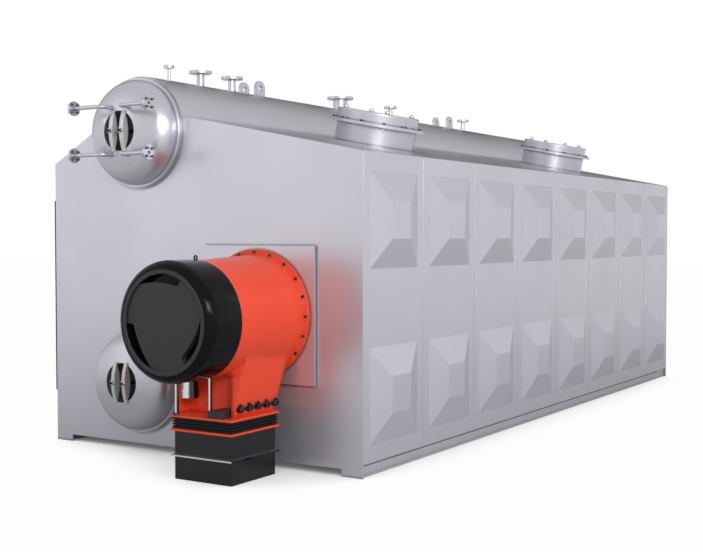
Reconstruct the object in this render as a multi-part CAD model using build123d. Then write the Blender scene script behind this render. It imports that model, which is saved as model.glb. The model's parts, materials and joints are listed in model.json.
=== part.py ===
from build123d import *
from math import asin, atan, cos, degrees, pi, sin, sqrt
import os

# Packaged two-drum water-tube boiler with a gas burner. Millimetres, +Z up, front towards -Y.
# While it is drawn, x = 0 is the middle of the casing, y = 0 its front face and z = 0 the floor.

# Casing
CASING_WIDTH = 3440
BAY_PITCH = 1000
BAY_COUNT = 8
WALL_HEIGHT = 2630
RIGHT_ROOF_SLOPE = 0.20
LEFT_ROOF_SLOPE = 0.55
PLATE = 10
PANEL_DEPTH = 80
SEAM_CHAMFER = 6

# Raised pyramids pressed into the side panels
PYRAMID_BASE = 790
PYRAMID_TOP = 305
PYRAMID_HEIGHT = 75
PYRAMID_LOW_RISE = 538
PYRAMID_HIGH_DROP = 552

# Base frame
BASE_HEIGHT = 110
FOOT_WIDTH = 200
FRONT_GAP = 62
SKID_WIDTH = 120
SKID_INSET = 25
SKIRT_LOW = 40
SKIRT_HIGH = 98
SKIRT_REAR_STOP = 340
CROSS_BEAM_WIDTH = 100
CROSS_BEAM_COUNT = 5
CROSS_BEAM_INSET = 400

# Drums and their dished heads
DRUM_INSET = 1080
DRUM_FRONT = 5
DRUM_REAR = 450
DRUM_WALL = 30
STEAM_DRUM_RISE = 244
STEAM_DRUM_RADIUS = 508
STEAM_HEAD_KNUCKLE = 190
WATER_DRUM_RISE = 534
WATER_DRUM_RADIUS = 488
WATER_HEAD_KNUCKLE = 190
JACKET_INSET = 12
JACKET_ROUND = 8
HEAD_SHOULDER = 26
HEAD_SKIRT = 43
HEAD_CROWN = 1000
MANHOLE_RADIUS = 177
MANHOLE_NECK = 26
MANHOLE_DEPTH = 90
COVER_THICKNESS = 25
COVER_LAP = 20
YOKE_OFFSET = 62
YOKE_WIDTH = 40
YOKE_LAP = 14
YOKE_ARCH = 45
YOKE_DIP = 35
YOKE_END = 8
YOKE_ROUND = 6
STUD_RADIUS = 14
STUD_REACH = 30

# Level gauge pipes on the steam drum's front head
GAUGE_X = 100
GAUGE_Z = 210
GAUGE_OUT = 378
GAUGE_REACH = 450
GAUGE_BEND = 45
GAUGE_PIPE_RADIUS = 18
GAUGE_BORE_RADIUS = 13
GAUGE_FLANGE_RADIUS = 65
GAUGE_FLANGE_THICKNESS = 18
GAUGE_PCD = 96
GAUGE_HOLE_RADIUS = 7

# Nozzles and lifting lugs along the top of the steam drum
NOZZLE_HEIGHT = 148
STEAM_NOZZLE_Y = 3330
STEAM_PIPE_RADIUS = 80
STEAM_FLANGE_RADIUS = 148
STEAM_BOLT_RADIUS = 11
VALVE_NOZZLE_Y = 850
VALVE_NOZZLE_PITCH = 486
VALVE_PIPE_RADIUS = 36
VALVE_FLANGE_RADIUS = 107
VALVE_BOLT_RADIUS = 9
SMALL_NOZZLE_Y = 397
SMALL_PIPE_RADIUS = 14
SMALL_FLANGE_RADIUS = 49
SMALL_BOLT_RADIUS = 6
GAUGE_NOZZLE_Y = 4464
VENT_NOZZLE_INSET = 1575
VENT_PIPE_RADIUS = 25
VENT_FLANGE_RADIUS = 78
VENT_BOLT_RADIUS = 8
NOZZLE_WALL = 8
NOZZLE_SEAT_STEP = 2
FLANGE_THICKNESS = 26
LUG_FRONT_Y = 1660
LUG_REAR_INSET = 2170
LUG_SPREAD = 200
LUG_WIDTH = 150
LUG_HEIGHT = 148
LUG_THICKNESS = 30
LUG_HOLE_RADIUS = 30

# Explosion relief doors, square to the right roof
DOOR_X = 690
DOOR_FRONT_Y = 1870
DOOR_REAR_INSET = 1670
DOOR_COLLAR_RADIUS = 390
DOOR_COLLAR_WALL = 20
DOOR_COLLAR_HEIGHT = 195
DOOR_FLANGE_RADIUS = 467
DOOR_FLANGE_THICKNESS = 14
DOOR_LID_RADIUS = 398
DOOR_LID_HEIGHT = 105
DOOR_LID_ROUND = 18

# Burner
BURNER_X = 695
BURNER_Z = 1293
MOUNT_PLATE_WIDTH = 1160
MOUNT_PLATE_HEIGHT = 1150
MOUNT_PLATE_THICKNESS = 30
BURNER_FLANGE_RADIUS = 543
BURNER_FLANGE_THICKNESS = 40
BODY_REAR_RADIUS = 500
BODY_FRONT_RADIUS = 462
HOOD_REAR = 850
HOOD_FRONT = 1225
HOOD_RADIUS = 474
HOOD_ROUND = 45
HOOD_MOUTH_RADIUS = 396
HOOD_STEP_RADIUS = 430
HOOD_STEP_DEPTH = 12
HOOD_RECESS = 75
COVER_GAP = 4
COVER_PLATE = 55
SLOT_COUNT = 3
SLOT_START = 63
SLOT_SWEEP = 72
SLOT_DEPTH = 85
SLOT_ROUND = 28

# Air inlet below the burner
INLET_OFFSET = 20
INLET_Y = -490
INLET_FLANGE_WIDTH = 618
INLET_FLANGE_DEPTH = 632
DUCT_WIDTH = 572
DUCT_DEPTH = 574
DUCT_WALL = 8
DUCT_JOINT_Z = 188
DUCT_JOINT_THICKNESS = 12
DUCT_TOP = 393
INLET_FLANGE_THICKNESS = 16
BELLOWS_HEIGHT = 94
BELLOWS_RIBS = 4
BELLOWS_RIB_REACH = 14
NECK_FRONT_MARGIN = 96
NECK_WIDTH = 562
NECK_SEAT = 30
NECK_REAR_MARGIN = 8
NECK_HEIGHT = 631
NECK_SIDE_SLOPE = 0.20
NECK_TOP_FRONT = 670
LEDGE_HEIGHT = 331
NICHE_DEPTH = 115
NICHE_LEFT_WALL = 29
NICHE_RIGHT_WALL = 30
NICHE_FLOOR_LAP = 20
ROD_RADIUS = 16
ROD_WALL_GAP = 2
ROD_LEFT_INSET = 17
ROD_RIGHT_INSET = 61
FITTING_X = -173
FITTING_INSET = 86
FITTING_RADIUS = 74
FITTING_RING = 8
FITTING_HEIGHT = 141
TERMINAL_BOX_X = 72
TERMINAL_BOX_WIDTH = 142
TERMINAL_BOX_DEPTH = 190
TERMINAL_BOX_HEIGHT = 61
TERMINAL_BOX_EDGE = 4

# Flue gas outlet in the left wall
FLUE_WIDTH = 640
FLUE_HEIGHT = 1680
FLUE_WALL = 8
FLUE_REACH = 130
FLUE_FLANGE = 60
FLUE_FLANGE_THICKNESS = 12

# Convection tubes seen through the flue outlet
TUBE_RADIUS = 25.5
TUBE_PITCH = 100
TUBE_COUNT = 8
TUBE_ROWS = (-260, -140)

CLEARANCE = 0.3

CASING_LENGTH = BAY_PITCH * BAY_COUNT
HALF_WIDTH = CASING_WIDTH / 2
ROOF_ANGLE = degrees(atan(RIGHT_ROOF_SLOPE))
DRUM_X = DRUM_INSET - HALF_WIDTH
STEAM_DRUM_Z = WALL_HEIGHT + STEAM_DRUM_RISE
WATER_DRUM_Z = BASE_HEIGHT + WATER_DRUM_RISE
DOORS_Y = (DOOR_FRONT_Y, CASING_LENGTH - DOOR_REAR_INSET)
FLUE_Y = BAY_PITCH / 2
FLUE_Z = (BASE_HEIGHT + WALL_HEIGHT) / 2
INLET_X = BURNER_X + INLET_OFFSET
INLET_FRONT = INLET_Y - INLET_FLANGE_DEPTH / 2
INLET_REAR = INLET_Y + INLET_FLANGE_DEPTH / 2
INLET_PLATE_Z = DUCT_TOP + INLET_FLANGE_THICKNESS + BELLOWS_HEIGHT
NECK_LOW_Z = INLET_PLATE_Z + INLET_FLANGE_THICKNESS
NECK_FRONT = INLET_FRONT + NECK_FRONT_MARGIN
NECK_LEFT = BURNER_X - NECK_WIDTH / 2
NECK_RIGHT = BURNER_X + NECK_WIDTH / 2
NECK_REAR = INLET_REAR - NECK_REAR_MARGIN
NICHE_REAR = NECK_FRONT + NICHE_DEPTH
NICHE_LEFT = NECK_LEFT + NICHE_LEFT_WALL
NICHE_RIGHT = NECK_RIGHT - NICHE_RIGHT_WALL


def block(x0, x1, y0, y1, z0, z1):
    """A box between two corners."""
    middle = Pos((x0 + x1) / 2, (y0 + y1) / 2, (z0 + z1) / 2)
    return middle * Box(x1 - x0, y1 - y0, z1 - z0)


def prism_along_y(points, y0, y1):
    """An outline in x and z, drawn out along y."""
    face = make_face(Polyline(*points, close=True))
    return extrude(Plane.XZ.offset(-y0) * face, amount=y0 - y1)


def rod_along_y(x, z, radius, y0, y1):
    """A round bar along y."""
    return Pos(x, (y0 + y1) / 2, z) * Rot(90, 0, 0) * Cylinder(radius, y1 - y0)


def rectangular_ring(width, depth, inner_width, inner_depth, z0, z1):
    """A rectangular frame on the air inlet's centre line."""
    middle = Pos(INLET_X, INLET_Y, (z0 + z1) / 2)
    return middle * (Box(width, depth, z1 - z0) - Box(inner_width, inner_depth, 2 * (z1 - z0)))


def roof_height(x):
    """Top of the roof above a place across the casing."""
    right = WALL_HEIGHT + RIGHT_ROOF_SLOPE * (HALF_WIDTH - x)
    left = WALL_HEIGHT + LEFT_ROOF_SLOPE * (HALF_WIDTH + x)
    return min(left, right)


def ridge_x():
    """Where the two roof slopes would meet."""
    slopes = LEFT_ROOF_SLOPE + RIGHT_ROOF_SLOPE
    return HALF_WIDTH * (RIGHT_ROOF_SLOPE - LEFT_ROOF_SLOPE) / slopes


def drum_space(z, radius):
    """The room that a drum needs, with its clearance."""
    ends = CASING_LENGTH + DRUM_REAR
    return rod_along_y(DRUM_X, z, radius + CLEARANCE, -DRUM_FRONT, ends)


def end_wall(y0, burner_throat):
    """Front or rear wall plate on two feet, cut for both drums."""
    foot = HALF_WIDTH - FOOT_WIDTH
    outline = [(-HALF_WIDTH, 0), (-foot, 0), (-foot, FRONT_GAP), (foot, FRONT_GAP), (foot, 0)]
    outline += [(HALF_WIDTH, 0), (HALF_WIDTH, WALL_HEIGHT)]
    outline += [(ridge_x(), roof_height(ridge_x())), (-HALF_WIDTH, WALL_HEIGHT)]
    wall = prism_along_y(outline, y0, y0 + PLATE)
    wall -= drum_space(STEAM_DRUM_Z, STEAM_DRUM_RADIUS)
    wall -= drum_space(WATER_DRUM_Z, WATER_DRUM_RADIUS)
    if burner_throat:
        wall -= rod_along_y(BURNER_X, BURNER_Z, HOOD_MOUTH_RADIUS, y0 - PLATE, y0 + 2 * PLATE)
    return wall


def pressed_pyramid(side, y, z):
    """One blunt pyramid standing out of a side panel."""
    near = (PYRAMID_BASE - PYRAMID_TOP) / 2
    far = (PYRAMID_BASE + PYRAMID_TOP) / 2
    seat = (Align.CENTER, Align.MIN, Align.CENTER)
    pyramid = Wedge(PYRAMID_BASE, PYRAMID_HEIGHT, PYRAMID_BASE, near, near, far, far, align=seat)
    frame = Plane(origin=(side * HALF_WIDTH, y, z), x_dir=(0, -side, 0), z_dir=(0, 0, 1))
    return frame.location * pyramid


def plain_panel(side, bay):
    """One bay of the side wall, its top cut to the roof and its upright edges chamfered."""
    y0 = max(bay * BAY_PITCH, PLATE)
    y1 = min((bay + 1) * BAY_PITCH, CASING_LENGTH - PLATE)
    inner = HALF_WIDTH - PANEL_DEPTH
    outline = [(side * HALF_WIDTH, BASE_HEIGHT), (side * HALF_WIDTH, WALL_HEIGHT - PLATE)]
    outline += [(side * inner, roof_height(side * inner) - PLATE), (side * inner, BASE_HEIGHT)]
    panel = prism_along_y(outline, y0, y1)
    outer = panel.edges().filter_by(Axis.Z).sort_by(lambda edge: side * edge.center().X)[-2:]
    return chamfer(outer, SEAM_CHAMFER)


def pressed_panel(side, bay):
    """A side panel with a low and a high pyramid."""
    middle = (bay + 0.5) * BAY_PITCH
    panel = plain_panel(side, bay)
    for z in (BASE_HEIGHT + PYRAMID_LOW_RISE, WALL_HEIGHT - PYRAMID_HIGH_DROP):
        panel += pressed_pyramid(side, middle, z)
    return panel


def flue_panel():
    """The left front panel, flat, with the flue opening cut through it."""
    opening = Pos(-HALF_WIDTH, FLUE_Y, FLUE_Z) * Box(4 * PANEL_DEPTH, FLUE_WIDTH, FLUE_HEIGHT)
    return plain_panel(-1, 0) - opening


def flue_outlet():
    """Rectangular collar and flange that the flue duct bolts to."""
    outer_width = FLUE_WIDTH + 2 * FLUE_WALL
    outer_height = FLUE_HEIGHT + 2 * FLUE_WALL
    collar = Pos(-HALF_WIDTH - FLUE_REACH / 2, FLUE_Y, FLUE_Z) * Box(FLUE_REACH, outer_width, outer_height)
    flange_x = -HALF_WIDTH - FLUE_REACH + FLUE_FLANGE_THICKNESS / 2
    flange_width = FLUE_WIDTH + 2 * FLUE_FLANGE
    flange_height = FLUE_HEIGHT + 2 * FLUE_FLANGE
    flange = Pos(flange_x, FLUE_Y, FLUE_Z) * Box(FLUE_FLANGE_THICKNESS, flange_width, flange_height)
    passage = Pos(-HALF_WIDTH, FLUE_Y, FLUE_Z) * Box(4 * FLUE_REACH, FLUE_WIDTH, FLUE_HEIGHT)
    return collar + flange - passage


def roof_plate(side, slope):
    """One roof slope from the side wall up to the steam drum."""
    outline = [(side * HALF_WIDTH, WALL_HEIGHT - PLATE), (side * HALF_WIDTH, WALL_HEIGHT)]
    rise = slope * abs(side * HALF_WIDTH - DRUM_X)
    outline += [(DRUM_X, WALL_HEIGHT + rise), (DRUM_X, WALL_HEIGHT + rise - PLATE)]
    plate = prism_along_y(outline, PLATE, CASING_LENGTH - PLATE)
    return plate - drum_space(STEAM_DRUM_Z, STEAM_DRUM_RADIUS)


def door_frame(y):
    """Place of an explosion door, its z along the roof's normal."""
    return Pos(DOOR_X, y, roof_height(DOOR_X)) * Rot(0, ROOF_ANGLE, 0)


def right_roof():
    """Right roof slope with the two explosion door openings."""
    roof = roof_plate(1, RIGHT_ROOF_SLOPE)
    for y in DOORS_Y:
        roof -= door_frame(y) * Cylinder(DOOR_COLLAR_RADIUS - DOOR_COLLAR_WALL, 8 * PLATE)
    return roof


def door_collar(y):
    """Round collar with a flange, standing square on the roof."""
    low = (Align.CENTER, Align.CENTER, Align.MIN)
    collar = Cylinder(DOOR_COLLAR_RADIUS, DOOR_COLLAR_HEIGHT, align=low)
    flange_z = DOOR_COLLAR_HEIGHT - DOOR_FLANGE_THICKNESS
    collar += Pos(0, 0, flange_z) * Cylinder(DOOR_FLANGE_RADIUS, DOOR_FLANGE_THICKNESS, align=low)
    collar -= Cylinder(DOOR_COLLAR_RADIUS - DOOR_COLLAR_WALL, 3 * DOOR_COLLAR_HEIGHT)
    return door_frame(y) * collar


def door_lid(y):
    """Bolted lid: a flange with a raised round cap."""
    low = (Align.CENTER, Align.CENTER, Align.MIN)
    lid = Cylinder(DOOR_FLANGE_RADIUS, DOOR_FLANGE_THICKNESS, align=low)
    cap = Cylinder(DOOR_LID_RADIUS, DOOR_FLANGE_THICKNESS + DOOR_LID_HEIGHT, align=low)
    cap = fillet(cap.edges().group_by(Axis.Z)[-1], DOOR_LID_ROUND)
    return door_frame(y) * Pos(0, 0, DOOR_COLLAR_HEIGHT) * (lid + cap)


def skid(side):
    """Long base beam, set in from the wall."""
    outer = HALF_WIDTH - SKID_INSET
    ends = sorted((side * outer, side * (outer - SKID_WIDTH)))
    return block(*ends, PLATE, CASING_LENGTH - PLATE, 0, BASE_HEIGHT)


def skirt(side):
    """Flat strip along the face of a skid."""
    ends = sorted((side * HALF_WIDTH, side * (HALF_WIDTH - SKID_INSET)))
    return block(*ends, PLATE, CASING_LENGTH - SKIRT_REAR_STOP, SKIRT_LOW, SKIRT_HIGH)


def cross_beams():
    """Beams that tie the two skids together."""
    inner = HALF_WIDTH - SKID_INSET - SKID_WIDTH
    span = CASING_LENGTH - 2 * CROSS_BEAM_INSET - CROSS_BEAM_WIDTH
    beams = []
    for number in range(CROSS_BEAM_COUNT):
        y0 = CROSS_BEAM_INSET + span * number / (CROSS_BEAM_COUNT - 1)
        beams.append(block(-inner, inner, y0, y0 + CROSS_BEAM_WIDTH, 0, BASE_HEIGHT))
    return beams


def casing_floor():
    """Floor plate between the side panels, on the cross beams."""
    inner = HALF_WIDTH - PANEL_DEPTH
    return block(-inner, inner, PLATE, CASING_LENGTH - PLATE, BASE_HEIGHT, BASE_HEIGHT + PLATE)


def dome(radius, knuckle, skirt_length, growth=0):
    """A dished head as a full solid: straight skirt, knuckle and crown, standing along z."""
    turn = asin((radius - knuckle) / (HEAD_CROWN - knuckle))
    half = (pi / 2 - turn) / 2
    centre = -(HEAD_CROWN - knuckle) * cos(turn)
    wide = radius + growth
    bend = knuckle + growth
    crown = HEAD_CROWN + growth
    rise = centre + crown
    middle = (radius - knuckle + bend * cos(half), bend * sin(half))
    tangent = (crown * sin(turn), centre + crown * cos(turn))
    crown_middle = (crown * sin(turn / 2), centre + crown * cos(turn / 2))
    outline = Polyline((0, rise), (0, -skirt_length), (wide, -skirt_length), (wide, 0))
    outline += ThreePointArc((wide, 0), middle, tangent)
    outline += ThreePointArc(tangent, crown_middle, (0, rise))
    return revolve(Plane.XZ * make_face(outline), Axis.Z)


def head_radius(shell_radius):
    """Outer radius of the dished part, inside the jacket ring."""
    return shell_radius - JACKET_INSET - HEAD_SHOULDER


def rim_height(shell_radius, knuckle):
    """Height of the crown at the edge of the manhole."""
    radius = head_radius(shell_radius)
    centre = -sqrt((HEAD_CROWN - knuckle) ** 2 - (radius - knuckle) ** 2)
    return centre + sqrt(HEAD_CROWN ** 2 - MANHOLE_RADIUS ** 2)


def drum_head(shell_radius, knuckle):
    """Dished head inside its jacket ring, with a neck that lines the manhole."""
    radius = head_radius(shell_radius)
    outer = dome(radius, knuckle, HEAD_SKIRT)
    jacket = Pos(0, 0, -HEAD_SKIRT / 2) * Cylinder(shell_radius - JACKET_INSET, HEAD_SKIRT)
    jacket = fillet(jacket.edges().group_by(Axis.Z)[-1], JACKET_ROUND)
    hollow = dome(radius, knuckle, 2 * HEAD_SKIRT, -DRUM_WALL)
    rim = rim_height(shell_radius, knuckle)
    neck = Pos(0, 0, rim) * Cylinder(MANHOLE_RADIUS + MANHOLE_NECK, 2 * MANHOLE_DEPTH)
    way = Cylinder(MANHOLE_RADIUS, 8 * radius)
    return outer + jacket - hollow + (neck & outer) - way


def manhole_cover(rim):
    """Inner cover disc with its two studs."""
    seat = rim - MANHOLE_DEPTH
    stud_top = rim + YOKE_ARCH + STUD_REACH
    cover = Pos(0, 0, seat - COVER_THICKNESS / 2) * Cylinder(MANHOLE_RADIUS + COVER_LAP, COVER_THICKNESS)
    for x in (-YOKE_OFFSET, YOKE_OFFSET):
        cover += Pos(x, 0, (seat + stud_top) / 2) * Cylinder(STUD_RADIUS, stud_top - seat)
    return cover


def yoke(rim, x):
    """Arched bar on edge across the manhole, thick in the middle and bored for its stud."""
    reach = sqrt((MANHOLE_RADIUS + YOKE_LAP) ** 2 - YOKE_OFFSET ** 2)
    inner = sqrt(MANHOLE_RADIUS ** 2 - (YOKE_OFFSET + YOKE_WIDTH / 2) ** 2) - CLEARANCE
    outline = Polyline((inner, 0), (reach, 0), (reach, YOKE_END))
    outline += ThreePointArc((reach, YOKE_END), (0, YOKE_ARCH), (-reach, YOKE_END))
    outline += Polyline((-reach, YOKE_END), (-reach, 0), (-inner, 0))
    outline += ThreePointArc((-inner, 0), (0, -YOKE_DIP), (inner, 0))
    side = Plane(origin=(x, 0, rim), x_dir=(0, 1, 0), z_dir=(1, 0, 0))
    bar = extrude(side * make_face(outline), amount=YOKE_WIDTH / 2, both=True)
    bar = fillet(bar.edges().filter_by(GeomType.CIRCLE), YOKE_ROUND)
    return bar - Pos(x, 0, rim) * Cylinder(STUD_RADIUS + CLEARANCE, 4 * YOKE_ARCH)


def head_frames(z):
    """Places of a drum's front and rear heads, their z pointing out of the drum."""
    front = Plane(origin=(DRUM_X, -DRUM_FRONT - HEAD_SKIRT, z), x_dir=(1, 0, 0), z_dir=(0, -1, 0))
    rear_y = CASING_LENGTH + DRUM_REAR + HEAD_SKIRT
    rear = Plane(origin=(DRUM_X, rear_y, z), x_dir=(-1, 0, 0), z_dir=(0, 1, 0))
    return front.location, rear.location


def drum_shell(z, radius):
    """Drum barrel, open at both ends where the heads join."""
    end = CASING_LENGTH + DRUM_REAR
    shell = rod_along_y(DRUM_X, z, radius, -DRUM_FRONT, end)
    return shell - rod_along_y(DRUM_X, z, radius - DRUM_WALL, -2 * DRUM_FRONT, 2 * end)


def steam_drum():
    """The upper drum, its top drilled under every nozzle."""
    shell = drum_shell(STEAM_DRUM_Z, STEAM_DRUM_RADIUS)
    for nozzles in nozzle_sizes().values():
        for y, pipe_radius, *_ in nozzles:
            way = Cylinder(pipe_radius - NOZZLE_WALL + NOZZLE_SEAT_STEP, 4 * DRUM_WALL)
            shell -= Pos(DRUM_X, y, STEAM_DRUM_Z + STEAM_DRUM_RADIUS) * way
    return shell


def gauge_pipe(side, height):
    """Elbowed pipe from the head out to a flange that faces sideways."""
    turn = (side * GAUGE_X, height * GAUGE_Z, GAUGE_OUT - DRUM_FRONT - HEAD_SKIRT)
    start = (turn[0], turn[1], 0)
    end = (side * GAUGE_REACH, turn[1], turn[2])
    path = FilletPolyline(start, turn, end, radius=GAUGE_BEND)
    ring = Circle(GAUGE_PIPE_RADIUS) - Circle(GAUGE_BORE_RADIUS)
    pipe = sweep(Pos(*start) * ring, path=path)
    face = Plane(origin=end, x_dir=(0, 1, 0), z_dir=(side, 0, 0))
    flange = Circle(GAUGE_FLANGE_RADIUS) - Circle(GAUGE_BORE_RADIUS)
    flange -= PolarLocations(GAUGE_PCD / 2, 4, 45) * Circle(GAUGE_HOLE_RADIUS)
    pipe += extrude(face * flange, amount=-GAUGE_FLANGE_THICKNESS)
    return pipe - dome(head_radius(STEAM_DRUM_RADIUS), STEAM_HEAD_KNUCKLE, HEAD_SKIRT, CLEARANCE)


def nozzle_sizes():
    """Each nozzle's place along the drum, pipe and flange radius, bolt count and bolt hole."""
    steam = (STEAM_PIPE_RADIUS, STEAM_FLANGE_RADIUS, 8, STEAM_BOLT_RADIUS)
    valve = (VALVE_PIPE_RADIUS, VALVE_FLANGE_RADIUS, 8, VALVE_BOLT_RADIUS)
    small = (SMALL_PIPE_RADIUS, SMALL_FLANGE_RADIUS, 4, SMALL_BOLT_RADIUS)
    vent = (VENT_PIPE_RADIUS, VENT_FLANGE_RADIUS, 4, VENT_BOLT_RADIUS)
    vent_y = CASING_LENGTH - VENT_NOZZLE_INSET
    return {
        "steam_outlet_nozzle": [(STEAM_NOZZLE_Y, *steam)],
        "safety_valve_nozzles": [(VALVE_NOZZLE_Y, *valve), (VALVE_NOZZLE_Y + VALVE_NOZZLE_PITCH, *valve)],
        "instrument_nozzles": [(SMALL_NOZZLE_Y, *small), (GAUGE_NOZZLE_Y, *vent), (vent_y, *vent)],
    }


def nozzle(y, pipe_radius, flange_radius, holes, hole_radius):
    """Flanged pipe standing on top of the steam drum."""
    pcd_radius = (pipe_radius + flange_radius) / 2
    bore = pipe_radius - NOZZLE_WALL
    length = STEAM_DRUM_RADIUS + NOZZLE_HEIGHT
    pipe = extrude(Circle(pipe_radius) - Circle(bore), amount=length)
    ring = Circle(flange_radius) - Circle(bore)
    ring -= PolarLocations(pcd_radius, holes, 180 / holes) * Circle(hole_radius)
    flange = extrude(ring, amount=FLANGE_THICKNESS)
    standing = Pos(DRUM_X, y, STEAM_DRUM_Z) * (pipe + Pos(0, 0, length - FLANGE_THICKNESS) * flange)
    return standing - drum_space(STEAM_DRUM_Z, STEAM_DRUM_RADIUS)


def lifting_lug(y, side):
    """Round-topped plate with an eye, standing along the drum."""
    eye = LUG_HEIGHT - LUG_WIDTH / 2
    x = side * LUG_SPREAD / 2
    foot = STEAM_DRUM_Z + sqrt(STEAM_DRUM_RADIUS ** 2 - x ** 2)
    plate = Rectangle(LUG_WIDTH, STEAM_DRUM_RADIUS + eye, align=(Align.CENTER, Align.MAX))
    plate += Circle(LUG_WIDTH / 2)
    plate -= Circle(LUG_HOLE_RADIUS)
    frame = Plane(origin=(DRUM_X + x, y, foot + eye), x_dir=(0, 1, 0), z_dir=(1, 0, 0))
    lug = extrude(frame * plate, amount=LUG_THICKNESS / 2, both=True)
    return lug - drum_space(STEAM_DRUM_Z, STEAM_DRUM_RADIUS)


def convection_tubes():
    """Upright tubes between the two drums, beside the flue outlet."""
    length = STEAM_DRUM_Z - WATER_DRUM_Z
    drums = drum_space(STEAM_DRUM_Z, STEAM_DRUM_RADIUS) + drum_space(WATER_DRUM_Z, WATER_DRUM_RADIUS)
    first = FLUE_Y - TUBE_PITCH * (TUBE_COUNT - 1) / 2
    tubes = []
    for offset in TUBE_ROWS:
        for number in range(TUBE_COUNT):
            middle = Pos(DRUM_X + offset, first + TUBE_PITCH * number, (STEAM_DRUM_Z + WATER_DRUM_Z) / 2)
            tubes.append(middle * Cylinder(TUBE_RADIUS, length) - drums)
    return tubes


def mounting_plate():
    """Square plate on the front wall with the burner throat through it."""
    plate = Box(MOUNT_PLATE_WIDTH, MOUNT_PLATE_THICKNESS, MOUNT_PLATE_HEIGHT)
    plate = Pos(BURNER_X, -MOUNT_PLATE_THICKNESS / 2, BURNER_Z) * plate
    return plate - rod_along_y(BURNER_X, BURNER_Z, HOOD_MOUTH_RADIUS, -2 * MOUNT_PLATE_THICKNESS, PLATE)


def burner_profile(points):
    """Turn an outline of radius and distance in front of the wall about the burner's axis."""
    face = make_face(Polyline(*points, close=True))
    turned = revolve(Plane.XZ * face, Axis.Z)
    frame = Plane(origin=(BURNER_X, 0, BURNER_Z), x_dir=(1, 0, 0), z_dir=(0, -1, 0))
    return frame.location * turned


def burner_barrel(growth=0):
    """Flange and tapered round body of the burner, or the room that it needs."""
    flange_rear = MOUNT_PLATE_THICKNESS
    flange_front = flange_rear + BURNER_FLANGE_THICKNESS
    points = [(0, flange_rear), (BURNER_FLANGE_RADIUS, flange_rear), (BURNER_FLANGE_RADIUS, flange_front)]
    points += [(BODY_REAR_RADIUS + growth, flange_front), (BODY_FRONT_RADIUS + growth, HOOD_REAR)]
    points += [(0, HOOD_REAR)]
    return burner_profile(points)


def tapered_neck(low_front, low_rear, top_front, top_rear, height):
    """A length of the neck from the inlet flange up, its sides leaning outwards."""
    spread = NECK_SIDE_SLOPE * height
    far = (-spread, low_rear - top_rear, NECK_WIDTH + spread, low_rear - top_front)
    neck = Wedge(NECK_WIDTH, height, low_rear - low_front, *far, align=None)
    corner = (NECK_LEFT, low_rear, NECK_LOW_Z)
    return Plane(origin=corner, x_dir=(1, 0, 0), z_dir=(0, -1, 0)).location * neck


def burner_housing():
    """Round body and the flared neck under it, with a niche in the neck's front."""
    top_rear = -MOUNT_PLATE_THICKNESS - BURNER_FLANGE_THICKNESS
    neck = tapered_neck(NECK_FRONT, NECK_REAR, -NECK_TOP_FRONT, top_rear, NECK_HEIGHT)
    neck += tapered_neck(NECK_FRONT, INLET_Y, NECK_FRONT, INLET_Y, LEDGE_HEIGHT)
    ledge_z = NECK_LOW_Z + LEDGE_HEIGHT
    neck -= block(NICHE_LEFT, NICHE_RIGHT, 2 * NECK_FRONT, NICHE_REAR, 0, ledge_z)
    return burner_barrel() + neck


def burner_hood():
    """Round-nosed cap over the fan, with a stepped recess in its front."""
    points = [(0, HOOD_REAR), (HOOD_RADIUS, HOOD_REAR), (HOOD_RADIUS, HOOD_FRONT), (0, HOOD_FRONT)]
    hood = burner_profile(points)
    hood = fillet(hood.edges().sort_by(Axis.Y)[0], HOOD_ROUND)
    for radius, depth in ((HOOD_STEP_RADIUS, HOOD_STEP_DEPTH), (HOOD_MOUTH_RADIUS, HOOD_RECESS)):
        hood -= rod_along_y(BURNER_X, BURNER_Z, radius, -2 * HOOD_FRONT, depth - HOOD_FRONT)
    return hood


def slot_outline(radius):
    """One swept slot at the edge of the front cover, from its square end to where it runs out."""
    def polar(distance, angle):
        turn = SLOT_SWEEP * pi / 180 * angle
        return (distance * cos(turn), distance * sin(turn))

    inner = radius - SLOT_DEPTH
    outside = 2 * radius
    outline = ThreePointArc(polar(inner, 0), polar(inner, 0.5), polar(radius, 1))
    outline += Polyline(polar(radius, 1), polar(outside, 1), polar(outside, 0), polar(inner, 0))
    return make_face(outline)


def front_cover():
    """Disc in the hood's recess with three swept air slots around its edge."""
    radius = HOOD_MOUTH_RADIUS - COVER_GAP
    face = Sketch() + Circle(radius)
    for number in range(SLOT_COUNT):
        face -= Rot(0, 0, SLOT_START + 360 / SLOT_COUNT * number) * slot_outline(radius)
    face = fillet(face.vertices().sort_by_distance((0, 0, 0))[:SLOT_COUNT], SLOT_ROUND)
    seat = Plane(origin=(BURNER_X, HOOD_RECESS - HOOD_FRONT, BURNER_Z), x_dir=(1, 0, 0), z_dir=(0, -1, 0))
    return extrude(seat * face, amount=COVER_PLATE)


def inlet_flanges():
    """The flange under the burner's neck, which floors the niche, and the one under the bellows."""
    size = (INLET_FLANGE_WIDTH, INLET_FLANGE_DEPTH)
    middle = Pos(INLET_X, INLET_Y, INLET_PLATE_Z + INLET_FLANGE_THICKNESS / 2)
    upper = middle * Box(*size, INLET_FLANGE_THICKNESS)
    upper -= block(NECK_LEFT + NECK_SEAT, NECK_RIGHT - NECK_SEAT, NICHE_REAR + NICHE_FLOOR_LAP,
                   NECK_REAR - NECK_SEAT, DUCT_TOP, BURNER_Z)
    inner = (DUCT_WIDTH - 2 * DUCT_WALL, DUCT_DEPTH - 2 * DUCT_WALL)
    lower = rectangular_ring(*size, *inner, DUCT_TOP, DUCT_TOP + INLET_FLANGE_THICKNESS)
    return [upper, lower]


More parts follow.
